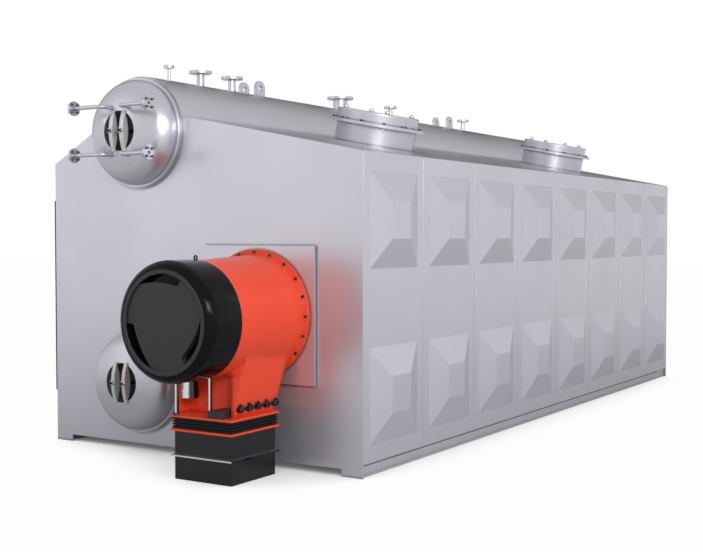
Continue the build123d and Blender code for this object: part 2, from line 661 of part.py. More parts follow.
def air_bellows():
    """Ribbed flexible joint between the two inlet flanges."""
    low = DUCT_TOP + INLET_FLANGE_THICKNESS
    inner = (DUCT_WIDTH - 2 * DUCT_WALL, DUCT_DEPTH - 2 * DUCT_WALL)
    bellows = rectangular_ring(DUCT_WIDTH, DUCT_DEPTH, *inner, low, low + BELLOWS_HEIGHT)
    pitch = BELLOWS_HEIGHT / BELLOWS_RIBS
    ribbed = (DUCT_WIDTH + 2 * BELLOWS_RIB_REACH, DUCT_DEPTH + 2 * BELLOWS_RIB_REACH)
    for number in range(BELLOWS_RIBS):
        z0 = low + pitch * (number + 0.2)
        bellows += rectangular_ring(*ribbed, *inner, z0, z0 + 0.6 * pitch)
    return bellows


def duct_sections():
    """Upper and lower lengths of the air duct."""
    size = (DUCT_WIDTH, DUCT_DEPTH, DUCT_WIDTH - 2 * DUCT_WALL, DUCT_DEPTH - 2 * DUCT_WALL)
    lower = rectangular_ring(*size, 0, DUCT_JOINT_Z)
    upper = rectangular_ring(*size, DUCT_JOINT_Z + DUCT_JOINT_THICKNESS, DUCT_TOP)
    return [lower, upper]


def duct_joint():
    """Bare metal flange between the two duct lengths."""
    inner = (DUCT_WIDTH - 2 * DUCT_WALL, DUCT_DEPTH - 2 * DUCT_WALL)
    top = DUCT_JOINT_Z + DUCT_JOINT_THICKNESS
    return rectangular_ring(INLET_FLANGE_WIDTH, INLET_FLANGE_DEPTH, *inner, DUCT_JOINT_Z, top)


def support_rods():
    """Two bright rods from the inlet flange up to the burner body."""
    places = [
        (NICHE_LEFT + ROD_RADIUS + ROD_WALL_GAP, INLET_FRONT + ROD_LEFT_INSET),
        (INLET_X + TERMINAL_BOX_X - ROD_RADIUS - ROD_WALL_GAP, INLET_FRONT + ROD_RIGHT_INSET),
    ]
    rods = []
    for x, y in places:
        rod = Pos(x, y, (NECK_LOW_Z + BURNER_Z) / 2) * Cylinder(ROD_RADIUS, BURNER_Z - NECK_LOW_Z)
        rods.append(rod - burner_barrel(CLEARANCE))
    return rods


def inlet_fitting():
    """Ringed round fitting that hangs in the niche, under the burner body."""
    low = (Align.CENTER, Align.CENTER, Align.MIN)
    low_z = NECK_LOW_Z + FITTING_HEIGHT
    core = Cylinder(FITTING_RADIUS - FITTING_RING, LEDGE_HEIGHT - FITTING_HEIGHT, align=low)
    for number in range(3):
        core += Pos(0, 0, 3 * FITTING_RING * number) * Cylinder(FITTING_RADIUS, 2 * FITTING_RING, align=low)
    fitting = Pos(INLET_X + FITTING_X, INLET_FRONT + FITTING_INSET, low_z) * core
    return fitting - burner_barrel(CLEARANCE)


def terminal_box():
    """Low box on the inlet flange, in front of the niche."""
    x0 = INLET_X + TERMINAL_BOX_X
    box = block(x0, x0 + TERMINAL_BOX_WIDTH, INLET_FRONT, INLET_FRONT + TERMINAL_BOX_DEPTH,
                NECK_LOW_Z, NECK_LOW_Z + TERMINAL_BOX_HEIGHT)
    return chamfer(box.edges().group_by(Axis.Z)[1:], TERMINAL_BOX_EDGE)


def build_nodes():
    """Every sub-part by its node name."""
    nodes = {
        "skid_left": skid(-1),
        "skid_right": skid(1),
        "base_skirts": [skirt(-1), skirt(1)],
        "base_cross_beams": cross_beams(),
        "casing_floor": casing_floor(),
        "front_wall": end_wall(0, True),
        "rear_wall": end_wall(CASING_LENGTH - PLATE, False),
        "roof_right": right_roof(),
        "roof_left": roof_plate(-1, LEFT_ROOF_SLOPE),
        "left_panel_1": flue_panel(),
        "flue_outlet": flue_outlet(),
        "convection_tubes": convection_tubes(),
    }
    for bay in range(BAY_COUNT):
        nodes[f"right_panel_{bay + 1}"] = pressed_panel(1, bay)
    for bay in range(1, BAY_COUNT):
        nodes[f"left_panel_{bay + 1}"] = pressed_panel(-1, bay)
    nodes.update(drum_nodes())
    nodes.update(top_nodes())
    nodes.update(burner_nodes())
    return nodes


def drum_nodes():
    """Both drums with their heads, manhole covers and yokes."""
    nodes = {"steam_drum": steam_drum(), "water_drum": drum_shell(WATER_DRUM_Z, WATER_DRUM_RADIUS)}
    nodes.update({"manhole_covers": [], "manhole_yokes": []})
    drums = {
        "steam_drum": (STEAM_DRUM_Z, STEAM_DRUM_RADIUS, STEAM_HEAD_KNUCKLE),
        "water_drum": (WATER_DRUM_Z, WATER_DRUM_RADIUS, WATER_HEAD_KNUCKLE),
    }
    for name, (z, radius, knuckle) in drums.items():
        rim = rim_height(radius, knuckle)
        for end, frame in zip(("front", "rear"), head_frames(z)):
            nodes[f"{name}_{end}_head"] = frame * drum_head(radius, knuckle)
            nodes["manhole_covers"].append(frame * manhole_cover(rim))
            for x in (-YOKE_OFFSET, YOKE_OFFSET):
                nodes["manhole_yokes"].append(frame * yoke(rim, x))
    front, _ = head_frames(STEAM_DRUM_Z)
    nodes["level_gauge_pipes"] = [front * gauge_pipe(side, up) for side in (-1, 1) for up in (-1, 1)]
    return nodes


def top_nodes():
    """Nozzles, lugs and explosion doors."""
    nodes = {name: [nozzle(*sizes) for sizes in nozzles] for name, nozzles in nozzle_sizes().items()}
    lugs_y = (LUG_FRONT_Y, CASING_LENGTH - LUG_REAR_INSET)
    nodes["lifting_lugs"] = [lifting_lug(y, side) for y in lugs_y for side in (-1, 1)]
    nodes["explosion_door_collars"] = [door_collar(y) for y in DOORS_Y]
    nodes["explosion_door_lids"] = [door_lid(y) for y in DOORS_Y]
    return nodes


def burner_nodes():
    """Burner, its mounting plate and the air inlet below it."""
    return {
        "burner_mounting_plate": mounting_plate(),
        "burner_housing": burner_housing(),
        "burner_hood": burner_hood(),
        "burner_front_cover": front_cover(),
        "burner_inlet_flanges": inlet_flanges(),
        "air_bellows": air_bellows(),
        "air_duct": duct_sections(),
        "air_duct_joint": duct_joint(),
        "burner_support_rods": support_rods(),
        "burner_inlet_fitting": inlet_fitting(),
        "burner_terminal_box": terminal_box(),
    }


def solids_of(shape):
    """The solids of one piece or of a list of like pieces."""
    pieces = shape if isinstance(shape, list) else [shape]
    return [solid for piece in pieces for solid in piece.solids()]


def write_parts():
    """Move the origin to the middle of the footprint on the floor and write one file for each node."""
    nodes = {name: Compound(children=solids_of(shape)) for name, shape in build_nodes().items()}
    boxes = [node.bounding_box() for node in nodes.values()]
    x = (min(box.min.X for box in boxes) + max(box.max.X for box in boxes)) / 2
    y = (min(box.min.Y for box in boxes) + max(box.max.Y for box in boxes)) / 2
    os.makedirs("parts", exist_ok=True)
    for name, node in nodes.items():
        export_step(Pos(-x, -y, 0) * node, f"parts/{name}.step")
    print(f"{len(nodes)} nodes, drawing origin moved by {-x:.3f}, {-y:.3f}")


write_parts()
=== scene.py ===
# %% [markdown]
# # A packaged water-tube boiler
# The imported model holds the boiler's solids at their real size: casing, drums, burner and duct.
# This lesson dresses them. Finishes come first, then the fasteners and welds that a fitter would see,
# and last a plain studio with the camera where the picture was taken from.

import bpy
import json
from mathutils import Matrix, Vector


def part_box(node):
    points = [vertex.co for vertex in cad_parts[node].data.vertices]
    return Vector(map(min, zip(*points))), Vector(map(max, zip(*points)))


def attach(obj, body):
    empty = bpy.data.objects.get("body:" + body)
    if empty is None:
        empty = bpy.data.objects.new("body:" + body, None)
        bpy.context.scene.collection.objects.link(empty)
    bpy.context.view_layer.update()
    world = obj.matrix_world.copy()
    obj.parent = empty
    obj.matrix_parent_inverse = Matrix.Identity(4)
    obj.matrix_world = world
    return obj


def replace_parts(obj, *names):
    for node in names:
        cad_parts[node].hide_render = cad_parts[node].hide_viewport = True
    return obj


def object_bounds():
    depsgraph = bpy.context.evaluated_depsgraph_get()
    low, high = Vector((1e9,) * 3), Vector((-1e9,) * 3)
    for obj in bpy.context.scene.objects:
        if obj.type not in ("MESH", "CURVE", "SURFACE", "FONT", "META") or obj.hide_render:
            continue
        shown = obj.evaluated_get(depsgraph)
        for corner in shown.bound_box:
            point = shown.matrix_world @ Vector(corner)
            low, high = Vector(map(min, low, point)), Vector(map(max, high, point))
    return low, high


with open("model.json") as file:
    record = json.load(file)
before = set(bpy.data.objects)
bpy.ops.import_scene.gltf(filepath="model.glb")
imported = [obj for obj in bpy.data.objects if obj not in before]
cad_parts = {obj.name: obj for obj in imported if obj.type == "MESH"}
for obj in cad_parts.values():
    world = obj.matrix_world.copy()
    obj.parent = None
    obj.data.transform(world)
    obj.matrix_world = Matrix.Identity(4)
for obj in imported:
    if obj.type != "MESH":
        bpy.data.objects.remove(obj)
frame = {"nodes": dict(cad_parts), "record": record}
cad_low, cad_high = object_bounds()
print("CAD box", [round(size, 3) for size in cad_high - cad_low])

# %% [markdown]
# Every place below is measured from the solids, so the pieces stay where the boiler is.
# The middle of the front wall is the handiest mark: widths count from it, and depths from its face.

# %% Marks read from the solids
import json
import math

import bmesh
import bpy
from mathutils import Vector

MM = 0.001
wall_low, wall_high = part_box("front_wall")
MID_X = (wall_low.x + wall_high.x) / 2
FRONT_Y = wall_low.y


def spot(x, y, z):
    """A place given in millimetres from the front wall's middle, its face and the floor."""
    return Vector((MID_X + x * MM, FRONT_Y + y * MM, z * MM))


print("front wall from", [round(v, 3) for v in wall_low], "to", [round(v, 3) for v in wall_high])

# %% [markdown]
# Shader trees are easier to read when one line makes one node. These helpers add a node, a sum,
# a fade between two values or a mix of two colours, and give back the socket that carries the result.

# %% Helpers for shader trees
def add_node(tree, kind, **values):
    node = tree.nodes.new(kind)
    for name, value in values.items():
        socket = node.inputs[name.replace("_", " ")]
        if isinstance(value, bpy.types.NodeSocket):
            tree.links.new(value, socket)
        else:
            socket.default_value = value
    return node


def calculate(tree, operation, first, second=0.5):
    node = tree.nodes.new("ShaderNodeMath")
    node.operation = operation
    for socket, value in zip(node.inputs, (first, second)):
        if isinstance(value, bpy.types.NodeSocket):
            tree.links.new(value, socket)
        else:
            socket.default_value = value
    return node.outputs[0]


def fade(tree, value, low, high, to_low=0.0, to_high=1.0):
    node = add_node(tree, "ShaderNodeMapRange", Value=value, From_Min=low, From_Max=high,
                    To_Min=to_low, To_Max=to_high)
    return node.outputs["Result"]


def mix_colours(tree, share, first, second):
    node = tree.nodes.new("ShaderNodeMix")
    node.data_type = "RGBA"
    for socket, value in zip((node.inputs[0], node.inputs[6], node.inputs[7]), (share, first, second)):
        if isinstance(value, bpy.types.NodeSocket):
            tree.links.new(value, socket)
        else:
            socket.default_value = value
    return node.outputs[2]


def new_group(name, inputs, outputs):
    group = bpy.data.node_groups.new(name, "ShaderNodeTree")
    for label, value in inputs.items():
        socket = group.interface.new_socket(label, in_out="INPUT", socket_type="NodeSocketFloat")
        socket.default_value = value
    for label in outputs:
        group.interface.new_socket(label, in_out="OUTPUT", socket_type="NodeSocketFloat")
    return group, group.nodes.new("NodeGroupInput"), group.nodes.new("NodeGroupOutput")


def use_group(tree, group, **values):
    node = tree.nodes.new("ShaderNodeGroup")
    node.node_tree = group
    for name, value in values.items():
        node.inputs[name.replace("_", " ")].default_value = value
    return node


print("shader helpers ready")

# %% [markdown]
# Sprayed paint is never quite even. It dries with a fine skin like orange peel, and the tone drifts
# a little from one pass of the gun to the next. Both come from noise in the object's own metres,
# so the skin has the same size on a bolt and on a wall. One group serves every painted finish.

# %% Group: paint skin
def make_paint_skin():
    sizes = {"Peel Scale": 260.0, "Drift Scale": 1.3}
    group, entry, leave = new_group("paint_skin", sizes, ("Peel", "Drift"))
    place = group.nodes.new("ShaderNodeTexCoord").outputs["Object"]
    peel = add_node(group, "ShaderNodeTexNoise", Vector=place, Scale=entry.outputs["Peel Scale"], Detail=1.5)
    drift = add_node(group, "ShaderNodeTexNoise", Vector=place,
                     Scale=entry.outputs["Drift Scale"], Detail=4.0)
    group.links.new(peel.outputs["Fac"], leave.inputs["Peel"])
    group.links.new(fade(group, drift.outputs["Fac"], 0.3, 0.7), leave.inputs["Drift"])
    return group


PAINT_SKIN = make_paint_skin()
print("group", PAINT_SKIN.name)

# %% [markdown]
# Paint thins on sharp corners and gets rubbed there. A Bevel node rounds the normal near an edge,
# so where the rounded and the true normal differ there is an edge. Noise breaks the line up.

# %% Group: edge wear
def make_edge_wear():
    group, entry, leave = new_group("edge_wear", {"Reach": 0.006, "Breakup Scale": 18.0}, ("Mask",))
    place = group.nodes.new("ShaderNodeTexCoord").outputs["Object"]
    rounded = add_node(group, "ShaderNodeBevel", Radius=entry.outputs["Reach"])
    rounded.samples = 4
    true_normal = group.nodes.new("ShaderNodeNewGeometry").outputs["Normal"]
    likeness = group.nodes.new("ShaderNodeVectorMath")
    likeness.operation = "DOT_PRODUCT"
    group.links.new(rounded.outputs["Normal"], likeness.inputs[0])
    group.links.new(true_normal, likeness.inputs[1])
    edge = fade(group, likeness.outputs["Value"], 0.995, 0.86)
    chips = add_node(group, "ShaderNodeTexNoise", Vector=place,
                     Scale=entry.outputs["Breakup Scale"], Detail=5.0)
    mask = calculate(group, "MULTIPLY", edge, fade(group, chips.outputs["Fac"], 0.35, 0.65))
    group.links.new(mask, leave.inputs["Mask"])
    return group


EDGE_WEAR = make_edge_wear()
print("group", EDGE_WEAR.name)

# %% [markdown]
# Dust settles on what faces up, and the floor soils what stands near it. The first mask follows the
# surface's upward tilt, the second the height above the floor, both made patchy by noise.

# %% Group: settled dust
def make_settled_dust():
    sizes = {"Patch Scale": 3.0, "Splash Height": 0.35}
    group, entry, leave = new_group("settled_dust", sizes, ("Dust", "Splash"))
    surface = group.nodes.new("ShaderNodeNewGeometry")
    up = group.nodes.new("ShaderNodeSeparateXYZ")
    height = group.nodes.new("ShaderNodeSeparateXYZ")
    group.links.new(surface.outputs["Normal"], up.inputs[0])
    group.links.new(surface.outputs["Position"], height.inputs[0])
    patches = add_node(group, "ShaderNodeTexNoise", Vector=surface.outputs["Position"],
                       Scale=entry.outputs["Patch Scale"], Detail=6.0)
    patchy = fade(group, patches.outputs["Fac"], 0.3, 0.7, 0.35, 1.0)
    flat = fade(group, up.outputs["Z"], 0.55, 0.98)
    rise = calculate(group, "DIVIDE", height.outputs["Z"], entry.outputs["Splash Height"])
    low = fade(group, rise, 1.0, 0.0)
    group.links.new(calculate(group, "MULTIPLY", flat, patchy), leave.inputs["Dust"])
    group.links.new(calculate(group, "MULTIPLY", low, patchy), leave.inputs["Splash"])
    return group


SETTLED_DUST = make_settled_dust()
print("group", SETTLED_DUST.name)

# %% [markdown]
# The sheets of the casing meet in fine grooves. Ambient occlusion over two or three centimetres finds such
# grooves and inside corners, and the paint's colour is darkened there: painted shade.

# %% Group: crevice shade (painted shade)
def make_crevice_shade():
    group, entry, leave = new_group("crevice_shade", {"Reach": 0.025}, ("Mask",))
    hollow = add_node(group, "ShaderNodeAmbientOcclusion", Distance=entry.outputs["Reach"])
    hollow.samples = 4
    group.links.new(fade(group, hollow.outputs["AO"], 0.95, 0.55), leave.inputs["Mask"])
    return group


CREVICE_SHADE = make_crevice_shade()
print("group", CREVICE_SHADE.name)

# %% [markdown]
# Bare steel shows the marks of its making: turned flanges, drawn rods and ground plates carry fine lines.
# Noise that is squeezed along one direction gives such lines, and they feed roughness and a faint bump.

# %% Group: tool marks
def make_tool_marks():
    sizes = {"Line Scale": 420.0, "Stain Scale": 9.0}
    group, entry, leave = new_group("tool_marks", sizes, ("Lines", "Stain"))
    place = group.nodes.new("ShaderNodeTexCoord").outputs["Object"]
    squeeze = group.nodes.new("ShaderNodeVectorMath")
    squeeze.operation = "MULTIPLY"
    group.links.new(place, squeeze.inputs[0])
    squeeze.inputs[1].default_value = (0.05, 0.05, 1.0)
    lines = add_node(group, "ShaderNodeTexNoise", Vector=squeeze.outputs[0],
                     Scale=entry.outputs["Line Scale"], Detail=2.0)
    stain = add_node(group, "ShaderNodeTexNoise", Vector=place,
                     Scale=entry.outputs["Stain Scale"], Detail=5.0)
    group.links.new(lines.outputs["Fac"], leave.inputs["Lines"])
    group.links.new(fade(group, stain.outputs["Fac"], 0.4, 0.7), leave.inputs["Stain"])
    return group


TOOL_MARKS = make_tool_marks()
print("group", TOOL_MARKS.name)

# %% [markdown]
# ## Finishes
# Most of the boiler is sprayed: light grey on the casing and drums, orange-red on the burner, black on its
# hood and duct. One function lays the paint down in the order that it happens on the real thing: the
# coat, its drift in tone, worn edges, dust from above and dirt from the floor; last comes painted shade in
# the grooves.

# %% Sprayed paint
DUST_COLOUR = (0.50, 0.48, 0.45, 1.0)
# The dark colour of the painted shade in grooves and inside corners.
PAINTED_SHADE_COLOUR = (0.045, 0.045, 0.050, 1.0)


def lay_over(tree, mask, share, under, over):
    """Lays the second colour over the first where the mask is, up to the given share."""
    return mix_colours(tree, calculate(tree, "MULTIPLY", mask, share), under, over)


def sprayed(name, coat, drifted, worn, roughness, flake=0.0, mirror=0.5, wear=0.35, dust=0.12, splash=0.15,
            painted_shade=0.0, soften=0.0):
    """Metal flake makes paint shine like satin metal, a low mirror value keeps black paint deep, and
    soften rounds the shading of edges over that many metres, as filler does on a casting."""
    finish = bpy.data.materials.new(name)
    finish.use_nodes = True
    tree = finish.node_tree
    shader = tree.nodes["Principled BSDF"]
    skin = use_group(tree, PAINT_SKIN)
    edges = use_group(tree, EDGE_WEAR)
    settled = use_group(tree, SETTLED_DUST)
    colour = mix_colours(tree, skin.outputs["Drift"], coat, drifted)
    colour = lay_over(tree, edges.outputs["Mask"], wear, colour, worn)
    colour = lay_over(tree, settled.outputs["Dust"], dust, colour, DUST_COLOUR)
    colour = lay_over(tree, settled.outputs["Splash"], splash, colour, DUST_COLOUR)
    # Painted shade: the colour darkens where ambient occlusion finds grooves and inside corners.
    if painted_shade:
        crevice = use_group(tree, CREVICE_SHADE)
        colour = lay_over(tree, crevice.outputs["Mask"], painted_shade, colour, PAINTED_SHADE_COLOUR)
    tree.links.new(colour, shader.inputs["Base Color"])
    rough = fade(tree, skin.outputs["Drift"], 0.0, 1.0, roughness * 0.9, roughness * 1.15)
    tree.links.new(rough, shader.inputs["Roughness"])
    bump = add_node(tree, "ShaderNodeBump", Strength=0.12, Distance=0.0006, Height=skin.outputs["Peel"])
    if soften:
        rounded = add_node(tree, "ShaderNodeBevel", Radius=soften)
        rounded.samples = 6
        tree.links.new(rounded.outputs["Normal"], bump.inputs["Normal"])
    tree.links.new(bump.outputs["Normal"], shader.inputs["Normal"])
    shader.inputs["Metallic"].default_value = flake
    shader.inputs["Specular IOR Level"].default_value = mirror
    return finish


RED_PAINT = {"coat": (0.84, 0.075, 0.028, 1), "drifted": (0.80, 0.068, 0.026, 1),
             "worn": (0.88, 0.16, 0.08, 1), "roughness": 0.34, "mirror": 0.25, "wear": 0.3,
             "dust": 0.05, "splash": 0.0}
finishes = {
    "casing_paint": sprayed("casing_paint", (0.570, 0.570, 0.630, 1), (0.555, 0.555, 0.612, 1),
                            (0.66, 0.66, 0.71, 1), 0.32, flake=0.71, wear=0.1, painted_shade=0.75),
    "drum_paint": sprayed("drum_paint", (0.545, 0.545, 0.598, 1), (0.525, 0.525, 0.578, 1),
                          (0.66, 0.66, 0.70, 1), 0.31, flake=0.80, wear=0.15, painted_shade=0.3),
    "yoke_paint": sprayed("yoke_paint", (0.62, 0.62, 0.64, 1), (0.56, 0.56, 0.58, 1),
                          (0.70, 0.70, 0.72, 1), 0.20, flake=0.15, mirror=0.8, wear=0.2,
                          dust=0.0, splash=0.0),
    "base_paint": sprayed("base_paint", (0.50, 0.50, 0.55, 1), (0.47, 0.47, 0.52, 1),
                          (0.64, 0.64, 0.67, 1), 0.28, flake=0.5, splash=0.25),
    "burner_red": sprayed("burner_red", **RED_PAINT),
    "housing_red": sprayed("housing_red", soften=0.07, **RED_PAINT),
    "burner_black": sprayed("burner_black", (0.004, 0.004, 0.0045, 1), (0.005, 0.005, 0.0055, 1),
                            (0.05, 0.05, 0.052, 1), 0.10, mirror=0.09, wear=0.1, dust=0.0, splash=0.0),
    # The manhole covers are near black: painted shade for the dark inside of each manhole.
    "hatch_black": sprayed("hatch_black", (0.010, 0.010, 0.012, 1), (0.014, 0.014, 0.016, 1),
                           (0.05, 0.05, 0.055, 1), 0.40, mirror=0.25, dust=0.02, splash=0.0),
    "cover_grey": sprayed("cover_grey", (0.030, 0.029, 0.034, 1), (0.026, 0.025, 0.029, 1),
                          (0.08, 0.08, 0.085, 1), 0.45, mirror=0.25, dust=0.05, splash=0.0),
    "duct_black": sprayed("duct_black", (0.004, 0.004, 0.0045, 1), (0.005, 0.005, 0.0055, 1),
                          (0.06, 0.06, 0.062, 1), 0.26, mirror=0.44, wear=0.1, dust=0.02, splash=0.01),
    "flue_black": sprayed("flue_black", (0.020, 0.020, 0.021, 1), (0.026, 0.025, 0.025, 1),
                          (0.08, 0.08, 0.08, 1), 0.6, mirror=0.3),
}
print("sprayed finishes:", ", ".join(finishes))

# %% [markdown]
# Nuts, rods and studs are bare metal. Metallic 1 takes its look from what it mirrors, so the colour only
# tints, and the tool marks and a little staining in the roughness keep it from looking like a mirror.

# %% Bare metal
RUBBED_STEEL = (0.85, 0.85, 0.86, 1)
# The dark colour of the painted reflection on bare metal.
PAINTED_REFLECTION_COLOUR = (0.02, 0.02, 0.022, 1)


def bare_metal(name, colour, stained, smooth, rough, painted_reflection=0.0):
    """At the given share, the colour of what faces right is darkened: a painted reflection of something dark
    on that side.
    """
    finish = bpy.data.materials.new(name)
    finish.use_nodes = True
    tree = finish.node_tree
    shader = tree.nodes["Principled BSDF"]
    shader.inputs["Metallic"].default_value = 1.0
    marks = use_group(tree, TOOL_MARKS)
    edges = use_group(tree, EDGE_WEAR, Reach=0.003)
    tone = mix_colours(tree, marks.outputs["Stain"], colour, stained)
    tone = lay_over(tree, edges.outputs["Mask"], 0.5, tone, RUBBED_STEEL)
    # Painted reflection: the side that faces right is darkened in its colour.
    if painted_reflection:
        facing = tree.nodes.new("ShaderNodeSeparateXYZ")
        tree.links.new(tree.nodes.new("ShaderNodeNewGeometry").outputs["Normal"], facing.inputs[0])
        right = fade(tree, facing.outputs["X"], 0.40, 0.60, 0.0, painted_reflection)
        tone = mix_colours(tree, right, tone, PAINTED_REFLECTION_COLOUR)
    tree.links.new(tone, shader.inputs["Base Color"])
    tree.links.new(fade(tree, marks.outputs["Lines"], 0.3, 0.7, smooth, rough), shader.inputs["Roughness"])
    bump = add_node(tree, "ShaderNodeBump", Strength=0.04, Distance=0.0002, Height=marks.outputs["Lines"])
    tree.links.new(bump.outputs["Normal"], shader.inputs["Normal"])
    return finish


finishes["bright_steel"] = bare_metal("bright_steel", (0.66, 0.66, 0.68, 1), (0.58, 0.58, 0.60, 1),
                                      0.14, 0.22)
# The chrome finish carries a strong painted dark reflection on the side that faces right.
finishes["chrome_rod"] = bare_metal("chrome_rod", (0.86, 0.86, 0.87, 1), (0.80, 0.80, 0.82, 1),
                                    0.05, 0.10, painted_reflection=0.95)
finishes["tube_steel"] = bare_metal("tube_steel", (0.20, 0.18, 0.17, 1), (0.13, 0.10, 0.09, 1),
                                    0.45, 0.65)
finishes["black_steel"] = bare_metal("black_steel", (0.06, 0.06, 0.065, 1), (0.04, 0.04, 0.042, 1),
                                     0.28, 0.40)
print("metal finishes ready")

# %% [markdown]
# The bellows between duct and burner is rubberised cloth. It keeps the fan's shake out of the duct.
# Two crossed waves give the cloth under the rubber, and the rubber itself is rough and nearly black.

# %% Rubberised cloth
def rubber_cloth(name):
    finish = bpy.data.materials.new(name)
    finish.use_nodes = True
    tree = finish.node_tree
    shader = tree.nodes["Principled BSDF"]
    place = tree.nodes.new("ShaderNodeTexCoord").outputs["Object"]
    threads = []
    for direction in ("DIAGONAL", "Z"):
        wave = add_node(tree, "ShaderNodeTexWave", Vector=place, Scale=120.0, Distortion=0.4)
        wave.bands_direction = direction
        threads.append(wave.outputs["Fac"])
    weave = calculate(tree, "MAXIMUM", *threads)
    skin = use_group(tree, PAINT_SKIN, Drift_Scale=12.0)
    colour = mix_colours(tree, skin.outputs["Drift"], (0.006, 0.006, 0.007, 1), (0.011, 0.011, 0.012, 1))
    tree.links.new(colour, shader.inputs["Base Color"])
    tree.links.new(fade(tree, weave, 0.0, 1.0, 0.62, 0.48), shader.inputs["Roughness"])
    shader.inputs["Specular IOR Level"].default_value = 0.15
    bump = add_node(tree, "ShaderNodeBump", Strength=0.25, Distance=0.0008, Height=weave)
    tree.links.new(bump.outputs["Normal"], shader.inputs["Normal"])
    return finish


finishes["bellows_black"] = rubber_cloth("bellows_black")
print("cloth finish ready")

# %% [markdown]
# The record names a material slot for each solid, so one loop gives every solid its finish.
# Four solids differ from the rest of their slot: the yokes were sprayed over with the drum, so they take a
# light paint, the ringed fitting and the duct's joint are as bright as the rods, and the burner's housing
# is a casting whose neck runs softly into the round body.

# %% Give the solids their finishes
# The ringed fitting and the duct's joint take the chrome finish with its painted dark reflection.
SPECIAL = {"manhole_yokes": "yoke_paint", "burner_housing": "housing_red",
           "burner_inlet_fitting": "chrome_rod", "air_duct_joint": "chrome_rod"}
for part in frame["record"]["subparts"]:
    solid = frame["nodes"][part["node"]]
    finish = finishes[SPECIAL.get(part["node"], part["material_slot"])]
    for slot in solid.material_slots:
        slot.material = finish

# %% [markdown]
# ## Fasteners
# Bolts, nuts and washers are turned or hexagonal, so one helper that sweeps an outline round an axis makes
# them all: six sides for a hexagon, more for a round. Each set is one joined mesh.

# %% Turned shapes
def turn(bm, outline, at, axis=(0, 0, 1), sides=24, phase=0.0, closed=False):
    """Sweeps (radius, height) points round an axis; a radius of 0 closes the end."""
    aim = Vector(axis).to_track_quat("Z", "Y")
    rings = []
    for radius, height in outline:
        count = sides if radius > 0 else 1
        angles = [phase + math.tau * step / count for step in range(count)]
        rings.append([bm.verts.new(at + aim @ Vector((radius * math.cos(a), radius * math.sin(a), height)))
                      for a in angles])
    pairs = list(zip(rings, rings[1:] + rings[:1]))
    for low, high in pairs if closed else pairs[:-1]:
        for step in range(sides):
            corners = [low[step % len(low)], low[(step + 1) % sides % len(low)],
                       high[(step + 1) % sides % len(high)], high[step % len(high)]]
            bm.faces.new(list(dict.fromkeys(corners)))


def make_piece(name, draw, finish, crease=35):
    """Makes a mesh from a drawing function and lets it ride on the boiler."""
    bm = bmesh.new()
    draw(bm)
    bmesh.ops.recalc_face_normals(bm, faces=bm.faces)
    mesh = bpy.data.meshes.new(name)
    bm.to_mesh(mesh)
    bm.free()
    mesh.shade_smooth()
    mesh.set_sharp_from_angle(angle=math.radians(crease))
    piece = bpy.data.objects.new(name, mesh)
    bpy.context.scene.collection.objects.link(piece)
    mesh.materials.append(finishes[finish])
    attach(piece, "root")
    print(name, len(mesh.polygons), "faces")
    return piece


print("turning helper ready")

# %% [markdown]
# A hexagon bolt sits on a washer and has its corners turned off at the top, which catches the light
# as a ring.

# %% Hexagon bolts and nuts
def hexagon(bm, at, axis, flats, height, phase=0.0):
    corner = flats / math.sqrt(3)
    outline = [(0, 0), (corner, 0), (corner, height * 0.82), (corner * 0.88, height), (0, height)]
    turn(bm, outline, at, axis, sides=6, phase=phase)


def washer(bm, at, axis, radius, thickness):
    rounded = thickness * 0.3
    edge = [(radius, 0), (radius, thickness - rounded), (radius - rounded, thickness)]
    turn(bm, [(0, 0), *edge, (0, thickness)], at, axis)


def bolt(bm, at, axis, flats, height, phase=0.0):
    """A washer with a hexagon head on it. Sizes in metres."""
    axis = Vector(axis).normalized()
    thickness = flats * 0.14
    washer(bm, at, axis, flats * 0.66, thickness)
    hexagon(bm, at + axis * thickness, axis, flats, height, phase)


print("fastener helpers ready")

# %% [markdown]
# Twenty dark bolts hold the burner's flange to the plate on the front wall, evenly round its rim.

# %% Burner flange bolts
BURNER_X, BURNER_Z = 695, 1293
FLANGE_FACE_Y = -70
FLANGE_BOLT_CIRCLE = 524
FLANGE_BOLT_COUNT = 20
FLANGE_BOLT_FLATS, FLANGE_BOLT_HEIGHT = 20, 11
TOWARDS_FRONT = (0, -1, 0)


def burner_flange_bolts(bm):
    for number in range(FLANGE_BOLT_COUNT):
        angle = math.tau * number / FLANGE_BOLT_COUNT
        at = spot(BURNER_X + FLANGE_BOLT_CIRCLE * math.cos(angle), FLANGE_FACE_Y,
                  BURNER_Z + FLANGE_BOLT_CIRCLE * math.sin(angle))
        bolt(bm, at, TOWARDS_FRONT, FLANGE_BOLT_FLATS * MM, FLANGE_BOLT_HEIGHT * MM, angle)


make_piece("burner_flange_bolts", burner_flange_bolts, "black_steel")

# %% [markdown]
# Five heavy bolts stand in a row on each cheek of the burner's neck, just above the inlet flange.
# The cheek leans out as it rises, and the bolts stand square to it.

# %% Neck bolts
INLET_TOP = 519
NECK_HALF_WIDTH, NECK_LEAN = 281, 0.20
NECK_BOLT_Z = 597
NECK_BOLT_FIRST_Y, NECK_BOLT_PITCH, NECK_BOLT_COUNT = -665, 114, 5
NECK_BOLT_FLATS, NECK_BOLT_HEIGHT = 55, 32


def neck_bolts(bm):
    out = NECK_HALF_WIDTH + NECK_LEAN * (NECK_BOLT_Z - INLET_TOP)
    for side in (-1, 1):
        for number in range(NECK_BOLT_COUNT):
            at = spot(BURNER_X + side * out, NECK_BOLT_FIRST_Y + number * NECK_BOLT_PITCH, NECK_BOLT_Z)
            bolt(bm, at, (side, 0, -NECK_LEAN), NECK_BOLT_FLATS * MM, NECK_BOLT_HEIGHT * MM, number * 0.3)


make_piece("neck_bolts", neck_bolts, "black_steel")

# %% [markdown]
# The hood hangs from an eye bolt when the burner is taken off. The eye is a ring on a short collar.

# %% Lifting eye
EYE_Y, EYE_BASE_Z = -828, 1752
EYE_RING, EYE_BAR = 14, 7


